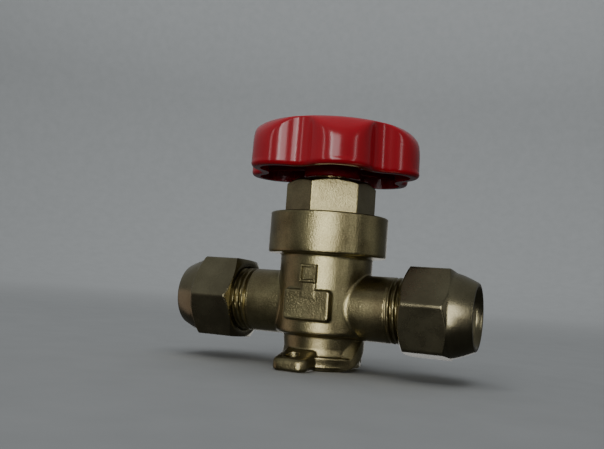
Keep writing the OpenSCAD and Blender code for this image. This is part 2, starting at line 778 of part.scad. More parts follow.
// Handwheel
module lobed_outline(inset) {
    tip_r = wheel_r - inset;
    valley_r = wheel_r - hollow_depth - inset;
    r = lobe_r - inset;
    cut_r = hollow_r(tip_r, valley_r, r);
    centre_r = tip_r - r;
    cutter_r = valley_r + cut_r;
    // The hub polygon runs through the points where lobes and hollows touch
    step = cutter_r * sin(half_pitch);
    touch_angle = atan2(step, cutter_r * cos(half_pitch) - centre_r);
    touch = [centre_r + r * cos(touch_angle), r * sin(touch_angle)];
    touch_r = norm(touch);
    touch_turn = atan2(touch[1], touch[0]);
    difference() {
        union() {
            for (i = [0 : lobes - 1]) rotate(i * 360 / lobes) translate([centre_r, 0]) circle(r = r);
            polygon([for (i = [0 : lobes - 1], s = [-1, 1])
                touch_r * [cos(i * 360 / lobes + s * touch_turn), sin(i * 360 / lobes + s * touch_turn)]]);
        }
        // The hollows cut slightly into the lobes, so that the two meet at a clear edge
        for (i = [0 : lobes - 1]) rotate((i + 0.5) * 360 / lobes)
            translate([cutter_r, 0]) circle(r = cut_r + lobe_overlap);
    }
}

// Solid of revolution that rounds the wheel's top edge and domes its top
module wheel_dome() {
    steps = 14;
    edge = [for (i = [0 : steps]) let (a = i * edge_end / steps)
        edge_centre + [rim_edge_w * cos(a), rim_edge_h * sin(a)]];
    dome = [for (i = [1 : steps]) let (a = dome_tilt * (1 - i / steps))
        [dome_r * sin(a), wheel_top_z - dome_r * (1 - cos(a))]];
    rotate_extrude() polygon(concat([[0, hub_z - 1], [wheel_r, hub_z - 1]], edge, dome));
}

module handwheel() {
    hub_r = wheel_hub_d / 2;
    color(red_plastic) rotate(wheel_turn) difference() {
        union() {
            intersection() {
                translate([0, 0, rim_z]) linear_extrude(wheel_h + dome_h + 1) lobed_outline(0);
                wheel_dome();
            }
            translate([0, 0, hub_z]) cylinder(r = hub_r, h = web_z - hub_z + eps);
        }
        // Hollow underside, with the hub and the ribs left standing
        difference() {
            translate([0, 0, rim_z - cut]) linear_extrude(web_z - rim_z + cut) lobed_outline(rim_t);
            translate([0, 0, hub_z - cut]) cylinder(r = hub_r, h = wheel_h + 2 * cut);
            for (i = [0 : lobes - 1]) rotate(i * 360 / lobes)
                translate([0, -rib_t / 2, rim_z + 2.5]) cube([wheel_r, rib_t, wheel_h]);
        }
        // Square hole for the stem, opened round at its foot, and the recess for the screw
        hole = stem_square + 2 * fit_gap;
        translate([-hole / 2, -hole / 2, rim_z]) cube([hole, hole, recess_z - rim_z + cut]);
        translate([0, 0, hub_z - cut])
            cylinder(d = stem_neck_d + 2 * fit_gap, h = rim_z - hub_z + cut);
        translate([0, 0, recess_z]) cylinder(d = recess_d, h = recess_depth + cut);
    }
}

module wheel_washer() {
    color(steel) translate([0, 0, recess_z])
        ring(wheel_washer_d / 2, wheel_screw_d / 2 + fit_gap, wheel_washer_t);
}

module wheel_screw() {
    length = wheel_screw_l + wheel_washer_t;
    color(steel) translate([0, 0, recess_z + wheel_washer_t - length])
        slotted_screw(wheel_screw_d, length, wheel_screw_d * 2, wheel_screw_head_h);
}

valve_body();
bonnet();
stem();
handwheel();
wheel_washer();
wheel_screw();
stem_seal();
thrust_pad();
clamp_ring();
diaphragm_top();
diaphragm_middle();
diaphragm_bottom();
diaphragm_gasket();
plunger();
seat_disc();
seat_disc_washer();
seat_disc_screw();
plunger_guide();
return_spring();
spring_button();
flare_nut_left();
flare_nut_right();
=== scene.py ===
"""Looks of the hand valve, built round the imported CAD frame."""
import json
import math

import bmesh
import bpy
import numpy as np
import openvdb
from mathutils import Matrix, Vector


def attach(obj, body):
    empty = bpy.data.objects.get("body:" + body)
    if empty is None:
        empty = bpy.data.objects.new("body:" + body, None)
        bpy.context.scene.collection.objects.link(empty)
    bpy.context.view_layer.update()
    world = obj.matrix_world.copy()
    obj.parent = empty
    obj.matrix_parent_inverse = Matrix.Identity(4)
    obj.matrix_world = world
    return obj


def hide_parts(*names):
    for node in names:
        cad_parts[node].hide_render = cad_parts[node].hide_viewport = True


MM = 0.001

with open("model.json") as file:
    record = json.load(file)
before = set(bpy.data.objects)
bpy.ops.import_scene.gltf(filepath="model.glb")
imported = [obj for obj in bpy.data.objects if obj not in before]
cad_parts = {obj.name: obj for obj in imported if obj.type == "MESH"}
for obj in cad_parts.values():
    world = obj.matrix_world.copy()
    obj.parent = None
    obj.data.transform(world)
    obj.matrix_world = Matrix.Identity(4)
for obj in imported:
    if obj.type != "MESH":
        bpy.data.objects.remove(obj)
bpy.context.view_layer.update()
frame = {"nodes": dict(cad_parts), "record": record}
nodes = frame["nodes"]
scene = bpy.context.scene


# Camera: the pose that was fitted to the photograph
CAMERA_AT = Vector((77.16, -199.03, 24.66)) * MM
YAW, PITCH, ROLL = (math.radians(a) for a in (-23.4, -4.68, 4.1))
FOCAL_PX = 706.9
IMAGE_W = 604


def add_camera():
    base = Matrix(((1, 0, 0), (0, 0, -1), (0, 1, 0)))
    to_view = (Matrix.Rotation(ROLL, 3, "Z") @ Matrix.Rotation(PITCH, 3, "X")
               @ base @ Matrix.Rotation(YAW, 3, "Z"))
    right, down, ahead = (Vector(row) for row in to_view)
    data = bpy.data.cameras.new("camera")
    data.sensor_fit = "HORIZONTAL"
    data.sensor_width = 36
    data.lens = FOCAL_PX / IMAGE_W * data.sensor_width
    data.clip_start = 0.01
    data.clip_end = 20
    cam = bpy.data.objects.new("camera", data)
    scene.collection.objects.link(cam)
    turn = Matrix((right, -down, -ahead)).transposed()
    cam.matrix_world = Matrix.Translation(CAMERA_AT) @ turn.to_4x4()
    scene.camera = cam
    return cam


# Node helpers
def new_material(name):
    mat = bpy.data.materials.new(name)
    mat.use_nodes = True
    tree = mat.node_tree
    shader = tree.nodes["Principled BSDF"]
    coords = tree.nodes.new("ShaderNodeTexCoord")
    return mat, tree, shader, coords.outputs["Object"]


def noise(tree, coords, scale, detail=3.0, roughness=0.55, stretch=None):
    node = tree.nodes.new("ShaderNodeTexNoise")
    node.inputs["Scale"].default_value = scale
    node.inputs["Detail"].default_value = detail
    node.inputs["Roughness"].default_value = roughness
    if stretch:
        mapping = tree.nodes.new("ShaderNodeMapping")
        mapping.inputs["Scale"].default_value = stretch
        tree.links.new(coords, mapping.inputs["Vector"])
        coords = mapping.outputs["Vector"]
    tree.links.new(coords, node.inputs["Vector"])
    return node.outputs["Fac"]


def ramp(tree, value, stops):
    node = tree.nodes.new("ShaderNodeValToRGB")
    elements = node.color_ramp.elements
    while len(elements) < len(stops):
        elements.new(0.5)
    for element, (at, colour) in zip(elements, stops):
        element.position = at
        if not isinstance(colour, tuple):
            colour = (colour, colour, colour)
        element.color = (*colour, 1)
    tree.links.new(value, node.inputs["Fac"])
    return node.outputs["Color"]


def mix(tree, factor, a, b, blend="MIX"):
    node = tree.nodes.new("ShaderNodeMix")
    node.data_type = "RGBA"
    node.blend_type = blend
    for socket, value in ((node.inputs[0], factor), (node.inputs[6], a), (node.inputs[7], b)):
        if isinstance(value, (int, float)):
            socket.default_value = value
        elif isinstance(value, tuple):
            socket.default_value = (*value, 1)
        else:
            tree.links.new(value, socket)
    return node.outputs[2]


def bump(tree, shader, height, distance, strength=1.0, under=None):
    node = tree.nodes.new("ShaderNodeBump")
    node.inputs["Distance"].default_value = distance
    node.inputs["Strength"].default_value = strength
    tree.links.new(height, node.inputs["Height"])
    if under is not None:
        tree.links.new(under, node.inputs["Normal"])
    tree.links.new(node.outputs["Normal"], shader.inputs["Normal"])
    return node.outputs["Normal"]


def across(tree, coords, axis):
    """Distance from the stem axis along one axis, in metres"""
    split = tree.nodes.new("ShaderNodeSeparateXYZ")
    tree.links.new(coords, split.inputs["Vector"])
    size = tree.nodes.new("ShaderNodeMath")
    size.operation = "ABSOLUTE"
    tree.links.new(split.outputs[axis], size.inputs[0])
    return size.outputs[0]


def forged_brass():
    """Blasted forging: olive gold, cloudy tarnish, a fine grain that sparkles; smoother out on the arms"""
    mat, tree, shader, at = new_material("forged_brass")
    cloud = noise(tree, at, 110, 4)
    stain = noise(tree, at, 45, 5, 0.65)
    grain = noise(tree, at, 2600, 1)
    tint = ramp(tree, cloud, [(0.3, (0.20, 0.170, 0.084)), (0.55, (0.31, 0.274, 0.142)), (0.75, (0.25, 0.214, 0.109))])
    brown = ramp(tree, stain, [(0.45, 0.0), (0.72, 0.45)])
    tint = mix(tree, brown, tint, (0.17, 0.115, 0.07))
    speck = ramp(tree, grain, [(0.38, 0.8), (0.6, 1.0)])
    tree.links.new(mix(tree, 1.0, tint, speck, "MULTIPLY"), shader.inputs["Base Color"])
    shader.inputs["Metallic"].default_value = 1
    tree.links.new(ramp(tree, cloud, [(0.3, 0.27), (0.7, 0.35)]), shader.inputs["Roughness"])
    arm = ramp(tree, across(tree, at, "X"), [(0.013, 1.0), (0.018, 0.12)])
    soft = bump(tree, shader, noise(tree, at, 700, 2), 0.00015, 0.16)
    bump(tree, shader, mix(tree, 1.0, grain, arm, "MULTIPLY"), 0.00012, 0.55, soft)
    return mat


def nut_brass():
    """Machined hexagon: darker, smoother, faint clouds"""
    mat, tree, shader, at = new_material("nut_brass")
    cloud = noise(tree, at, 130, 4)
    tint = ramp(tree, cloud, [(0.3, (0.20, 0.176, 0.106)), (0.7, (0.27, 0.243, 0.148))])
    speck = ramp(tree, noise(tree, at, 2200, 1), [(0.35, 0.9), (0.6, 1.0)])
    tree.links.new(mix(tree, 1.0, tint, speck, "MULTIPLY"), shader.inputs["Base Color"])
    shader.inputs["Metallic"].default_value = 1
    tree.links.new(ramp(tree, cloud, [(0.3, 0.24), (0.7, 0.3)]), shader.inputs["Roughness"])
    bump(tree, shader, noise(tree, at, 1800, 2), 0.00008, 0.2)
    return mat


def plain_metal(name, colour, rough, scale=400.0):
    mat, tree, shader, at = new_material(name)
    cloud = noise(tree, at, scale, 3)
    dark = tuple(0.8 * c for c in colour)
    tree.links.new(ramp(tree, cloud, [(0.3, dark), (0.7, colour)]), shader.inputs["Base Color"])
    shader.inputs["Metallic"].default_value = 1
    tree.links.new(ramp(tree, cloud, [(0.3, rough), (0.7, rough + 0.08)]), shader.inputs["Roughness"])
    return mat


def plain_plastic(name, colour, rough, scale=300.0):
    mat, tree, shader, at = new_material(name)
    cloud = noise(tree, at, scale, 3)
    dark = tuple(0.85 * c for c in colour)
    tree.links.new(ramp(tree, cloud, [(0.3, dark), (0.7, colour)]), shader.inputs["Base Color"])
    tree.links.new(ramp(tree, cloud, [(0.3, rough), (0.7, rough + 0.05)]), shader.inputs["Roughness"])
    return mat


MATERIALS = {
    "forged_brass": forged_brass(),
    "nut_brass": nut_brass(),
    "turned_brass": plain_metal("turned_brass", (0.75, 0.58, 0.28), 0.25),
    "red_plastic": plain_plastic("red_plastic", (0.37, 0.006, 0.0145), 0.16, 60),
    "plated_steel": plain_metal("plated_steel", (0.7, 0.7, 0.68), 0.3),
    "stainless": plain_metal("stainless", (0.66, 0.66, 0.67), 0.22),
    "black_rubber": plain_plastic("black_rubber", (0.02, 0.02, 0.02), 0.5),
    "gasket_fibre": plain_plastic("gasket_fibre", (0.09, 0.09, 0.08), 0.8),
    "seat_nylon": plain_plastic("seat_nylon", (0.78, 0.75, 0.64), 0.45),
}

slots = {entry["node"]: entry["material_slot"] for entry in frame["record"]["subparts"]}
for name, obj in nodes.items():
    obj.data.materials.clear()
    obj.data.materials.append(MATERIALS[slots[name]])


# Mesh helpers: all sizes in millimetres
def add_mesh(name, points, faces, slot=None):
    mesh = bpy.data.meshes.new(name)
    mesh.from_pydata((np.asarray(points, float) * MM).tolist(), [], faces)
    bm = bmesh.new()
    bm.from_mesh(mesh)
    bmesh.ops.recalc_face_normals(bm, faces=bm.faces)
    bm.to_mesh(mesh)
    bm.free()
    obj = bpy.data.objects.new(name, mesh)
    scene.collection.objects.link(obj)
    if slot:
        mesh.materials.append(MATERIALS[slot])
    return obj


def loft(name, rows, slot=None, closed=False):
    """Skin over rings of points; closed joins the last ring to the first, else both ends are capped"""
    rows = np.asarray(rows, float)
    count, around = rows.shape[:2]
    i = np.arange(count if closed else count - 1)[:, None]
    j = np.arange(around)[None, :]
    i_next, j_next = (i + 1) % count, (j + 1) % around
    quads = np.stack([i * around + j, i * around + j_next,
                      i_next * around + j_next, i_next * around + j], -1)
    faces = quads.reshape(-1, 4).tolist()
    if not closed:
        faces.append(list(range(around)))
        faces.append(list(range((count - 1) * around, count * around)))
    return add_mesh(name, rows.reshape(-1, 3), faces, slot)


def rings_z(profile, angles):
    """Rings about the Z axis from (radius, height) pairs; a radius may be an array over the angles"""
    return [np.stack([r * np.cos(angles), r * np.sin(angles), z + 0 * angles], -1) for r, z in profile]


def rings_x(profile, angles, side=1):
    """Rings about the X axis from (radius, x) pairs; side -1 turns them half round Z"""
    return [np.stack([side * (x + 0 * angles), side * r * np.cos(angles), r * np.sin(angles)], -1)
            for r, x in profile]


def full_circle(count):
    return np.linspace(0, 2 * math.pi, count, endpoint=False)


def lathe(name, profile, slot=None, closed=False, count=128):
    return loft(name, rings_z(profile, full_circle(count)), slot, closed)


def arc(centre, radius, start, end, steps):
    """Points of an arc as (radius, height) pairs; radius may be a pair for an ellipse"""
    rx, ry = radius if isinstance(radius, tuple) else (radius, radius)
    angles = np.radians(np.linspace(start, end, steps + 1))
    return [(centre[0] + rx * math.cos(t), centre[1] + ry * math.sin(t)) for t in angles]


def smooth_min(a, b, k):
    h = np.clip(0.5 + 0.5 * (b - a) / k, 0, 1)
    return b * (1 - h) + a * h - k * h * (1 - h)


def smooth_max(a, b, k):
    return -smooth_min(-a, -b, k)


def drill(name, start, end, radius, count=96):
    """Cylinder between two points"""
    start, end = Vector(start), Vector(end)
    turn = (end - start).to_track_quat("Z", "Y").to_matrix()
    rows = []
    for at in (start, end):
        rows.append([at + turn @ Vector((radius * math.cos(t), radius * math.sin(t), 0))
                     for t in full_circle(count)])
    return loft(name, rows)


def combine(base, tools, operation):
    """Boolean of base with each tool; the tools are used up"""
    for tool in tools:
        step = base.modifiers.new("step", "BOOLEAN")
        step.operation = operation
        step.solver = "MANIFOLD"
        step.object = tool
        bpy.context.view_layer.update()
        shape = base.evaluated_get(bpy.context.evaluated_depsgraph_get())
        result = bpy.data.meshes.new_from_object(shape)
        base.modifiers.clear()
        old = base.data
        base.data = result
        bpy.data.meshes.remove(old)
        bpy.data.objects.remove(tool)
    return base


def finish_piece(obj, slot, node, body, sharp=35):
    mesh = obj.data
    mesh.materials.clear()
    mesh.materials.append(MATERIALS[slot])
    mesh.polygons.foreach_set("material_index", np.zeros(len(mesh.polygons), np.int32))
    mesh.polygons.foreach_set("use_smooth", np.ones(len(mesh.polygons), bool))
    mesh.set_sharp_from_angle(angle=math.radians(sharp))
    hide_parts(node)
    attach(obj, body)
    return obj


# Valve body: a forged blank with soft fillets, then the machined parts
ARM_Z = 18.5
THREAD_R = 9.525
THREAD_PITCH = 25.4 / 16
ARM_PLAIN_X = 21.4
THREAD_END_X = 37.4
ARM_END_X = 39.8
CONE_ROOT_R, CONE_TIP_R = 8.2, 5.8
HUB_R, HUB_TOP_R = 10.7, 11.5
NECK_R, NECK_Z = 13.8, 9.8
BOWL_R, BOWL_Z, BOWL_TOP_Z = 17.7, 33.1, 45.2
FOOT_T, FOOT_EDGE_Z, APRON_Z = 3.2, 3.95, 5.8
WING_R, WING_HEADING = 12.9, 22
PAD_Y = 14.4
BADGE_X, BADGE_Y, BADGE_Z, BADGE_HALF = 0.2, 14.75, 27.4, 2.6


def rounded_box_2d(x, y, half_w, half_h, r):
    dx, dy = np.abs(x) - half_w + r, np.abs(y) - half_h + r
    return np.hypot(np.maximum(dx, 0), np.maximum(dy, 0)) + np.minimum(np.maximum(dx, dy), 0) - r


def slab(d, z, low, high, soften):
    """Upright solid of a plan distance d between two heights, with softened edges"""
    return smooth_max(smooth_max(d, z - high, soften), low - z, soften)


def blank_distance(x, y, z):
    """Signed distance, near enough, to the forged blank"""
    r = np.hypot(x, y)
    hub = smooth_max(r - HUB_R - (HUB_TOP_R - HUB_R) * (z - FOOT_T) / (NECK_Z - FOOT_T), z - NECK_Z - 1, 0.1)
    hub = np.maximum(hub, 1.2 - z)
    neck = smooth_max(smooth_max(r - NECK_R, z - BOWL_Z - 1, 0.1), NECK_Z - z, 1.6)
    arm_r = np.hypot(y, z - ARM_Z)
    arms = smooth_max(arm_r - THREAD_R, np.abs(x) - ARM_PLAIN_X, 0.1)
    bowl = smooth_max(smooth_max(r - BOWL_R, z - BOWL_TOP_Z, 0.5), BOWL_Z - z, 0.9)
    body = smooth_min(smooth_min(hub, neck, 0.7), arms, 0.7)
    body = smooth_min(body, bowl, 1.0)
    # Foot: a plate whose edge leans in below, and two offset lugs that slope up to the hub
    lean = 0.28 * (FOOT_EDGE_Z - np.clip(z, 0, FOOT_EDGE_Z))
    plate = slab(rounded_box_2d(x, y, 9.2, 12, 7) + lean, z, 0, FOOT_EDGE_Z, 0.5)
    lugs = np.minimum(*(rounded_box_2d(turn * x + 2.15, turn * y + 8.55, 5.15, 10.95, 2.6) for turn in (1, -1)))
    lugs = slab(lugs, z, 0, np.minimum(APRON_Z, FOOT_T + 0.265 * (20.5 - r)), 1.3)
    apron = slab(r - 11.6 + 0.25 * (z - FOOT_T), z, 1, APRON_Z, 0.3)
    foot = smooth_min(smooth_min(plate, lugs, 0.5), apron, 0.3)
    # Wing that winds up from the foot's front to the underside of the inlet arm
    away = np.abs(np.degrees(np.arctan2(y, x)) - WING_HEADING)
    fade = np.clip((away - 45) / 20, 0, 1)
    edge = r - WING_R + fade * (0.3 + lean)
    climb = np.minimum(9.5 - 0.226 * (away - 22) + 1.8 * (WING_R - r), 9.4)
    top = np.maximum(climb, FOOT_EDGE_Z - 0.4 * np.clip(away - 98, 0, None))
    under = 5.6 * (np.clip(67 - away, 0, None) / 55) ** 2
    wing = smooth_max(smooth_max(edge, 0.6 * (z - top), 0.25), under - z, 0.6 - 0.3 * fade)
    body = smooth_min(body, smooth_min(foot, wing, 0.3), 0.4)
    # Long pad, with the tab above it
    pad = smooth_max(rounded_box_2d(x, z - ARM_Z, 7, 4.3, 1.1), -y - PAD_Y, 0.6)
    tab_y = PAD_Y + 0.06 - 0.5 * np.clip((z - 22) / 2.5, 0, 1)
    tab = smooth_max(rounded_box_2d(x - 0.4, z - 22.6, 2.0, 2.1, 0.3), -y - tab_y, 0.2)
    pads = np.maximum(smooth_min(pad, tab, 0.2), y)
    return smooth_min(body, pads, 0.6)


def blank():
    voxel = 0.25
    low = np.array([-23.0, -21.0, -0.8])
    high = np.array([23.0, 21.0, 46.0])
    counts = np.ceil((high - low) / voxel).astype(int)
    axes = [np.float32(low[i]) + np.float32(voxel) * np.arange(counts[i], dtype=np.float32) for i in range(3)]
    x, y, z = np.meshgrid(*axes, indexing="ij", sparse=True)
    field = blank_distance(x, y, z).astype(np.float32)
    grid = openvdb.FloatGrid(3.0)
    grid.copyFromArray(np.clip(field, -3, 3), ijk=(0, 0, 0), tolerance=0)
    points, triangles, quads = grid.convertToPolygons(isovalue=0, adaptivity=0.0)
    points = points * voxel + low
    points[:, 2] = np.maximum(points[:, 2], 0)
    return add_mesh("valve_body_look", points, triangles.tolist() + quads.tolist())


def thread_rings(side):
    """Arm end from the plain arm to the flare cone, with the thread as a true helix that runs out at both ends"""
    angles = full_circle(128)
    depth = 0.5 * THREAD_PITCH
    profile = [(THREAD_R - 0.3, 12.0), (THREAD_R - 0.3, ARM_PLAIN_X - 0.3), (THREAD_R - 0.03, ARM_PLAIN_X - 0.15)]
    for x in np.arange(ARM_PLAIN_X, THREAD_END_X - 0.01, THREAD_PITCH / 12):
        phase = (x / THREAD_PITCH - angles / (2 * math.pi)) % 1
        ridge = np.clip(1.6 - 3.2 * np.abs(phase - 0.5) * 1.18, 0, 1)
        start = min((x - ARM_PLAIN_X) / 1.2, 1)
        r = THREAD_R - depth * start * (1 - ridge)
        profile.append((np.minimum(r, THREAD_R - 0.65 + THREAD_END_X - x), x))
    profile += [(CONE_ROOT_R + 0.3, THREAD_END_X), (CONE_ROOT_R, THREAD_END_X + 0.1),
                (CONE_TIP_R + 0.25, ARM_END_X - 0.25), (CONE_TIP_R + 0.05, ARM_END_X - 0.07),
                (CONE_TIP_R - 0.25, ARM_END_X)]
    rows = np.asarray(rings_x(profile, angles, side))
    rows[..., 2] += ARM_Z
    return loft("arm_end", rows)


SEAT_Z, SEAT_R = 19.5, 4.5
CHAMBER_Z, CHAMBER_R = 18.7, 9.0
GUIDE_Z, BORE_R = 26.5, 9.6
LEDGE_Z, BONNET_BORE_R = 36.0, 15.3
DISH_DEPTH, FREE_R = 1.8, 12.91
POCKET_Z = 7.0
FLOW_R, FLOW_X = 4.75, 24.8
PASSAGE_R = 3.5


def body_cavities():
    stack = lathe("stack", [(0.01, CHAMBER_Z), (CHAMBER_R, CHAMBER_Z), (CHAMBER_R, GUIDE_Z), (BORE_R, GUIDE_Z),
                            (BORE_R, LEDGE_Z - DISH_DEPTH), (FREE_R, LEDGE_Z), (BONNET_BORE_R, LEDGE_Z),
                            (BONNET_BORE_R, BOWL_TOP_Z - 0.5), (BONNET_BORE_R + 1.2, BOWL_TOP_Z + 0.7),
                            (0.01, BOWL_TOP_Z + 0.7)])
    seat = lathe("seat", [(SEAT_R + 1.1, CHAMBER_Z - 1), (SEAT_R + 1.1, SEAT_Z - 0.15), (SEAT_R + 0.95, SEAT_Z),
                          (0.01, SEAT_Z), (0.01, CHAMBER_Z - 1)])
    pocket = lathe("pocket", [(0.01, POCKET_Z - SEAT_R / 2), (SEAT_R, POCKET_Z), (SEAT_R, SEAT_Z + 1),
                              (0.01, SEAT_Z + 1)])
    tools = [combine(stack, [seat], "DIFFERENCE"), pocket]
    for side in (1, -1):
        rows = np.asarray(rings_x([(FLOW_R, FLOW_X), (FLOW_R, ARM_END_X - 0.4), (FLOW_R + 0.8, ARM_END_X + 0.4)],
                                  full_circle(96), side))
        rows[..., 2] += ARM_Z
        tools.append(loft("flow", rows))
    tools.append(drill("inlet", (FLOW_X + 1, 0, ARM_Z), (1, 0, POCKET_Z + PASSAGE_R), PASSAGE_R))
    tools.append(drill("outlet", (-FLOW_X - 1, 0, ARM_Z - 0.4), (2.5 - CHAMBER_R, 0, CHAMBER_Z + PASSAGE_R),
                       PASSAGE_R))
    for side in (1, -1):
        tools.append(drill("screw_hole", (-2.15 * side, -15.6 * side, -1), (-2.15 * side, -15.6 * side, 7), 2.25))
    return tools


def square_block(profile):
    """Square block on the neck's front, from (half width, y) pairs"""
    corners = ((-1, -1), (1, -1), (1, 1), (-1, 1))
    return loft("block", [[(BADGE_X + a * half, y, BADGE_Z + b * half) for a, b in corners] for half, y in profile])


def add_valve_body():
    body = blank()
    badge = square_block([(BADGE_HALF, -NECK_R / 2), (BADGE_HALF, 0.3 - BADGE_Y), (BADGE_HALF - 0.2, -BADGE_Y)])
    recess = square_block([(BADGE_HALF - 0.95, 0.45 - BADGE_Y), (BADGE_HALF - 0.7, 0.1 - BADGE_Y),
                           (BADGE_HALF - 0.7, -BADGE_Y - 1)])
    combine(body, [badge, thread_rings(1), thread_rings(-1)], "UNION")
    combine(body, [recess, *body_cavities()], "DIFFERENCE")
    return finish_piece(body, "forged_brass", "valve_body", "body", 40)


# Hexagons: flats that meet at rounded corners, cut by turned chamfers
def hexagon_angles(turn):
    """Angles round a hexagon, close together at its corners"""
    steps = np.concatenate([np.arange(-30, -6, 3), np.arange(-6, -3, 1), np.arange(-3, 3.01, 0.375),
                            np.arange(4, 7, 1), np.arange(9, 30, 3)])
    return np.radians(np.concatenate([60 * k + 30 + steps for k in range(6)]) + turn)


def hexagon_radius(angles, across_flats, turn, soften):
    reach = None
    for k in range(6):
        facing = np.cos(angles - math.radians(60 * k + turn))
        flat = across_flats / 2 / np.maximum(facing, 0.3)
        reach = flat if reach is None else smooth_min(reach, flat, soften)
    return reach


NUT_AF = 24.0
NUT_X, NUT_SHOULDER_X, NUT_END_X = 25.8, 39.1, 45.6
NUT_TURN = {"flare_nut_left": 2.8, "flare_nut_right": 10.2}
NOSE_ROOT_R, NOSE_END_R = 11.9, 9.425
MOUTH_R, TUBE_HOLE_R = 8.1, 6.5
SLOPE_30 = math.tan(math.radians(30))


def add_nut(node, side):
    turn = 30 - NUT_TURN[node] * side
    angles = hexagon_angles(turn)
    hexagon = hexagon_radius(angles, NUT_AF, turn, 0.9)
    profile = []
    for x in np.concatenate([np.linspace(NUT_X, NUT_X + 1.6, 15), np.linspace(NUT_X + 2, NUT_SHOULDER_X - 3.4, 8),
                             np.linspace(NUT_SHOULDER_X - 3.2, NUT_SHOULDER_X, 22)]):
        inner = NUT_AF / 2 - 0.35 + (x - NUT_X) / SLOPE_30
        outer = NUT_AF / 2 + 0.05 + (NUT_SHOULDER_X - x) / SLOPE_30
        profile.append((smooth_min(smooth_min(hexagon, inner, 0.25), outer, 0.35), x))
    nose = NUT_END_X - NUT_SHOULDER_X
    for t in np.linspace(0.03, 0.9, 14):
        profile.append((NOSE_ROOT_R + (NOSE_END_R - NOSE_ROOT_R) * t ** 1.3, NUT_SHOULDER_X + nose * t))
    profile += arc((NOSE_END_R - 0.35, NUT_END_X - 0.45), (0.5, 0.45), 25, 90, 5)
    profile += [(MOUTH_R + 0.5, NUT_END_X), (MOUTH_R, NUT_END_X - 0.5), (MOUTH_R - 0.4, NUT_END_X - 1.8),
                (TUBE_HOLE_R, NUT_END_X - 2.5),
                (TUBE_HOLE_R, 40.8), (THREAD_R - 0.6, 38.375), (THREAD_R + 0.05, 38.375),
                (THREAD_R + 0.05, NUT_X + 1.2), (THREAD_R + 0.55, NUT_X + 0.1), (THREAD_R + 0.75, NUT_X)]
    rows = np.asarray(rings_x(profile, angles, side))
    rows[..., 2] += ARM_Z
    return finish_piece(loft(node + "_look", rows, closed=True), "nut_brass", node, node.split("_")[-1] + "_nut", 40)


BONNET_AF, BONNET_TURN = 23.6, 25.7
BONNET_Z, BONNET_SHOULDER_Z, BONNET_TOP_Z = 38.1, 44.6, 55.4
STOP_Z, SEAL_Z, STEM_THREAD_TOP_Z = 43.6, 53.0, 52.2
SKIRT_R, NECK_BORE_R, STEM_THREAD_R, SEAL_R = 15.25, 5.0, 6.0, 6.61


def add_bonnet():
    angles = hexagon_angles(BONNET_TURN - 30)
    hexagon = hexagon_radius(angles, BONNET_AF, BONNET_TURN - 30, 0.35)
    profile = [(SKIRT_R, BONNET_Z), (SKIRT_R, BONNET_SHOULDER_Z - 0.2), (SKIRT_R - 0.3, BONNET_SHOULDER_Z),
               (hexagon + 0.35, BONNET_SHOULDER_Z), (hexagon + 0.1, BONNET_SHOULDER_Z + 0.12),
               (hexagon, BONNET_SHOULDER_Z + 0.4)]
    for z in np.concatenate([np.linspace(BONNET_SHOULDER_Z + 1.2, BONNET_TOP_Z - 2.6, 6),
                             np.linspace(BONNET_TOP_Z - 2.3, BONNET_TOP_Z - 0.02, 18)]):
        chamfer = BONNET_AF / 2 - 0.4 + (BONNET_TOP_Z - z) / SLOPE_30
        profile.append((smooth_min(hexagon, chamfer, 0.45), z))
    profile += [(BONNET_AF / 2 - 0.75, BONNET_TOP_Z), (NECK_BORE_R + 0.25, BONNET_TOP_Z),
                (NECK_BORE_R, BONNET_TOP_Z - 0.25), (NECK_BORE_R, SEAL_Z + 1.8), (SEAL_R, SEAL_Z + 1.8),
                (SEAL_R, SEAL_Z), (NECK_BORE_R, SEAL_Z), (NECK_BORE_R, STEM_THREAD_TOP_Z),
                (STEM_THREAD_R, STEM_THREAD_TOP_Z), (STEM_THREAD_R, STOP_Z), (FREE_R, STOP_Z), (FREE_R, BONNET_Z)]
    return finish_piece(loft("bonnet_look", rings_z(profile, angles), closed=True), "forged_brass", "bonnet", "body", 40)


# Handwheel: lobed outline with draft, rounded lip, elliptical top edge and dome
WHEEL_R, LOBES, HOLLOW, LOBE_R, WHEEL_TURN = 26.95, 6, 5.0, 9.7, -3.9
RIM_Z, RIM_TOP_Z, HUB_Z = 57.0, 71.2, 56.4
EDGE_W, EDGE_H = 6.6, 8.8
DOME_H = 1.0
RIM_T, WEB_Z = 2.6, 67.8
LIP_R = 1.2
DRAFT = math.tan(math.radians(1.0))
WHEEL_HUB_R = 8.5
RECESS_R, RECESS_DEPTH = 7.5, 5.0


def lobed_radius(angles, inset=0.0):
    """Radius of the wheel's outline: circles of the lobes and of the hollows that touch them"""
    half = math.pi / LOBES
    tip, valley, r = WHEEL_R - inset, WHEEL_R - HOLLOW - inset, LOBE_R - inset
    centre = tip - r
    cut_r = ((centre ** 2 + valley ** 2 - 2 * centre * valley * math.cos(half) - r ** 2)
             / (2 * r - 2 * valley + 2 * centre * math.cos(half)))
    cut_centre = valley + cut_r
    touch = math.atan2(cut_centre * math.sin(half) * r / (r + cut_r),
                       centre + (cut_centre * math.cos(half) - centre) * r / (r + cut_r))
    fold = np.abs((angles - math.radians(WHEEL_TURN) + half) % (2 * half) - half)
    lobe = centre * np.cos(fold) + np.sqrt(np.maximum(r ** 2 - (centre * np.sin(fold)) ** 2, 0))
    away = half - fold
    hollow = cut_centre * np.cos(away) - np.sqrt(np.maximum(cut_r ** 2 - (cut_centre * np.sin(away)) ** 2, 0))
    return np.where(fold < touch, lobe, hollow)


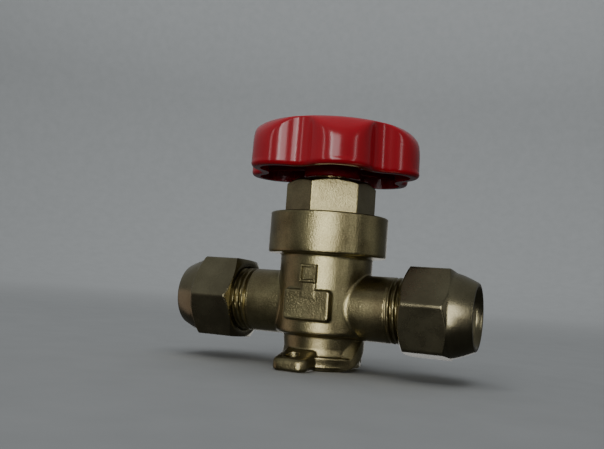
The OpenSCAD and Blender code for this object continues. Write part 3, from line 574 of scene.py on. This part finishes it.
def add_handwheel():
    angles = full_circle(360)
    outline = lobed_radius(angles)
    inner = WHEEL_R - EDGE_W
    tilt = 2 * math.atan(DOME_H / inner)
    end = math.degrees(math.atan2(EDGE_H * math.cos(tilt), EDGE_W * math.sin(tilt)))
    edge = arc((inner, RIM_TOP_Z - EDGE_H), (EDGE_W, EDGE_H), 0, end, 30)
    start_r, start_z = edge[-1]
    dome_r = start_r / math.sin(tilt)
    top_z = start_z + dome_r * (1 - math.cos(tilt))
    profile = [(outline - LIP_R + LIP_R * math.sin(math.radians(a)), RIM_Z + LIP_R - LIP_R * math.cos(math.radians(a)))
               for a in range(0, 91, 18)]
    for z in np.linspace(RIM_Z + LIP_R + 0.6, RIM_TOP_Z - EDGE_H - 0.6, 7):
        side = outline - DRAFT * (z - RIM_Z)
        profile.append((smooth_min(side, WHEEL_R, 1.0), z))
    for r, z in edge:
        side = outline - DRAFT * (z - RIM_Z)
        profile.append((smooth_min(side, r + 0 * side, 1.0), z))
    outer = profile[-1][0]
    crown = []
    for t in np.linspace(0.12, 1, 12):
        r = outer + (RECESS_R + 0.6 - outer) * t
        crown.append((r, top_z - dome_r + np.sqrt(dome_r ** 2 - r ** 2)))
    profile += crown
    rim_z = top_z - RECESS_R ** 2 / (2 * dome_r)
    profile += arc((RECESS_R + 0.6, rim_z - 0.6), 0.6, 108, 180, 5)
    floor_z = top_z - RECESS_DEPTH
    profile += [(RECESS_R, floor_z + 0.3), (RECESS_R - 0.1, floor_z + 0.1), (RECESS_R - 0.3, floor_z)]
    wheel = loft("handwheel_look", rings_z(profile, angles))
    # Hollow underside with its hub and ribs
    inner_rows = []
    for z in (RIM_Z - 1, RIM_Z + 0.5, WEB_Z - 1.2, WEB_Z):
        taper = RIM_T + 0.12 * (z - RIM_Z) + (1.2 if z == WEB_Z else 0)
        inner_rows.append((lobed_radius(angles, taper), z))
    hollow = loft("hollow", rings_z(inner_rows, angles))
    keep = [lathe("hub", [(WHEEL_HUB_R, HUB_Z - 1), (WHEEL_HUB_R + 0.3, WEB_Z + 1)], count=96)]
    for k in range(LOBES // 2):
        rows = []
        turn = math.radians(WHEEL_TURN + 60 * k)
        for z, half_t in ((RIM_Z + 2.5, 0.75), (WEB_Z + 1, 0.95)):
            corners = [(-WHEEL_R, -half_t), (WHEEL_R, -half_t), (WHEEL_R, half_t), (-WHEEL_R, half_t)]
            rows.append([(cx * math.cos(turn) - cy * math.sin(turn), cx * math.sin(turn) + cy * math.cos(turn), z)
                         for cx, cy in corners])
        keep.append(loft("rib", rows))
    combine(hollow, keep, "DIFFERENCE")
    hub = lathe("hub_end", [(WHEEL_HUB_R - 0.4, HUB_Z), (WHEEL_HUB_R, HUB_Z + 0.4), (WHEEL_HUB_R, RIM_Z + 1)],
                count=96)
    combine(wheel, [hollow], "DIFFERENCE")
    combine(wheel, [hub], "UNION")
    square = 4.05
    turn = math.radians(WHEEL_TURN)
    rows = []
    for z in (RIM_Z, top_z):
        rows.append([(cx * math.cos(turn) - cy * math.sin(turn), cx * math.sin(turn) + cy * math.cos(turn), z)
                     for cx, cy in ((-square, -square), (square, -square), (square, square), (-square, square))])
    combine(wheel, [loft("square_hole", rows), drill("stem_hole", (0, 0, HUB_Z - 1), (0, 0, RIM_Z + 0.01), 5.0)],
            "DIFFERENCE")
    return finish_piece(wheel, "red_plastic", "handwheel", "stem", 35)


brass = [add_valve_body(), add_bonnet(), add_nut("flare_nut_left", -1), add_nut("flare_nut_right", 1)]
wheel = [add_handwheel()]


# Floor, backdrop and lights
def add_stage():
    """Round floor that sweeps up into a wall on all sides"""
    wall_r, sweep_r, height = 1.6, 0.5, 2.6
    profile = [(0.001, 0), *arc((wall_r - sweep_r, sweep_r), sweep_r, -90, 0, 16), (wall_r, height)]
    floor = loft("floor", rings_z([(r / MM, z / MM) for r, z in profile], full_circle(96)))
    mesh = floor.data
    bm = bmesh.new()
    bm.from_mesh(mesh)
    bmesh.ops.delete(bm, geom=[face for face in bm.faces if len(face.verts) > 4], context="FACES_ONLY")
    bmesh.ops.reverse_faces(bm, faces=bm.faces)
    for face in bm.faces:
        face.smooth = True
    bm.to_mesh(mesh)
    bm.free()
    mat, tree, shader, at = new_material("floor")
    tint = ramp(tree, noise(tree, at, 60, 4), [(0.3, (0.43, 0.435, 0.43)), (0.7, (0.46, 0.465, 0.46))])
    tree.links.new(tint, shader.inputs["Base Color"])
    shader.inputs["Roughness"].default_value = 0.8
    mesh.materials.append(mat)
    # The set is lit and seen, but metal shows the dim room below instead of it
    floor.visible_glossy = False
    floor.visible_diffuse = False
    floor.visible_shadow = False


def add_area(name, heading, distance, height, size, power, colour=(1, 1, 1), lean=0.0, aim=(0, 0, 0.035),
             mirrored=True):
    """Rectangular light at a compass heading in degrees; mirrored says that metal and gloss show it"""
    data = bpy.data.lights.new(name, "AREA")
    data.shape = "RECTANGLE"
    data.size, data.size_y = size
    data.energy = power
    data.color = colour
    light = bpy.data.objects.new(name, data)
    scene.collection.objects.link(light)
    at = Vector((distance * math.cos(math.radians(heading)), distance * math.sin(math.radians(heading)), height))
    light.location = at
    turn = (Vector(aim) - at).to_track_quat("-Z", "Y").to_matrix() @ Matrix.Rotation(math.radians(lean), 3, "Z")
    light.rotation_euler = turn.to_euler()
    light.visible_glossy = mirrored
    light.visible_camera = False
    return light


def light_only(light, pieces):
    group = bpy.data.collections.new(light.name + "_pieces")
    for piece in pieces:
        group.objects.link(piece)
    light.light_linking.receiver_collection = group


def add_world():
    """Dim room: brighter above and towards the left, dark below"""
    world = bpy.data.worlds.new("world")
    scene.world = world
    world.use_nodes = True
    tree = world.node_tree
    coords = tree.nodes.new("ShaderNodeTexCoord").outputs["Generated"]
    split = tree.nodes.new("ShaderNodeSeparateXYZ")
    tree.links.new(coords, split.inputs["Vector"])
    height = tree.nodes.new("ShaderNodeMapRange")
    height.inputs["From Min"].default_value = -1
    tree.links.new(split.outputs["Z"], height.inputs["Value"])
    rise = ramp(tree, height.outputs["Result"], [(0.3, 0.042), (0.48, 0.08), (0.6, 0.2), (0.95, 0.26)])
    side = tree.nodes.new("ShaderNodeMapRange")
    side.inputs["From Min"].default_value = -1
    tree.links.new(split.outputs["X"], side.inputs["Value"])
    tint = ramp(tree, side.outputs["Result"], [(0.1, (1.25, 1.3, 1.35)), (0.9, (0.6, 0.63, 0.65))])
    tree.links.new(mix(tree, 1.0, rise, tint, "MULTIPLY"), tree.nodes["Background"].inputs["Color"])
    tree.nodes["Background"].inputs["Strength"].default_value = 1.0


add_camera()
add_stage()
add_world()
COOL = (0.93, 0.97, 1)
for_all = [add_area("window", -79.5, 0.75, 0.215, (0.36, 0.43), 2.05, aim=(0, 0, 0.215)),
           add_area("window_edge", -90, 0.74, 0.215, (0.08, 0.43), 0.6, aim=(0, 0, 0.215)),
           add_area("right_strip", -24, 0.75, 0.16, (0.07, 0.40), 0.33, lean=-6)]
for light in for_all:
    light_only(light, [*brass, *wheel, *nodes.values()])
for_brass = [add_area("window_right", -59.5, 0.75, 0.215, (0.17, 0.43), 0.96, aim=(0, 0, 0.215)),
             add_area("window_low", -77, 0.75, -0.15, (0.42, 0.3), 1.95, aim=(0, 0, -0.15)),
             add_area("warm_side", -165, 0.75, -0.2, (0.5, 0.6), 0.36, (1, 0.78, 0.76), aim=(0, 0, -0.2)),
             add_area("right_side", 18, 0.75, 0.1, (0.4, 0.5), 0.16),
             add_area("back_low", 108, 0.75, -0.1, (0.6, 0.45), 0.6, aim=(0, 0, -0.1))]
for light in for_brass:
    light_only(light, brass)
light_only(add_area("left_strip", -120, 0.75, 0.16, (0.07, 0.45), 0.3, lean=12), wheel)
add_area("ceiling", -90, 0.1, 1.3, (1.2, 1.2), 5.4, COOL, mirrored=False)
for heading, power in ((112, 6.8), (-128, 3.0), (-8, 3.0)):
    across_room = Vector((math.cos(math.radians(heading)), math.sin(math.radians(heading)), 0)) * 1.73
    add_area("backdrop_light", heading, 0.7, 1.0, (1.6, 0.4), power, COOL, aim=(across_room.x, across_room.y, 0.5),
             mirrored=False)
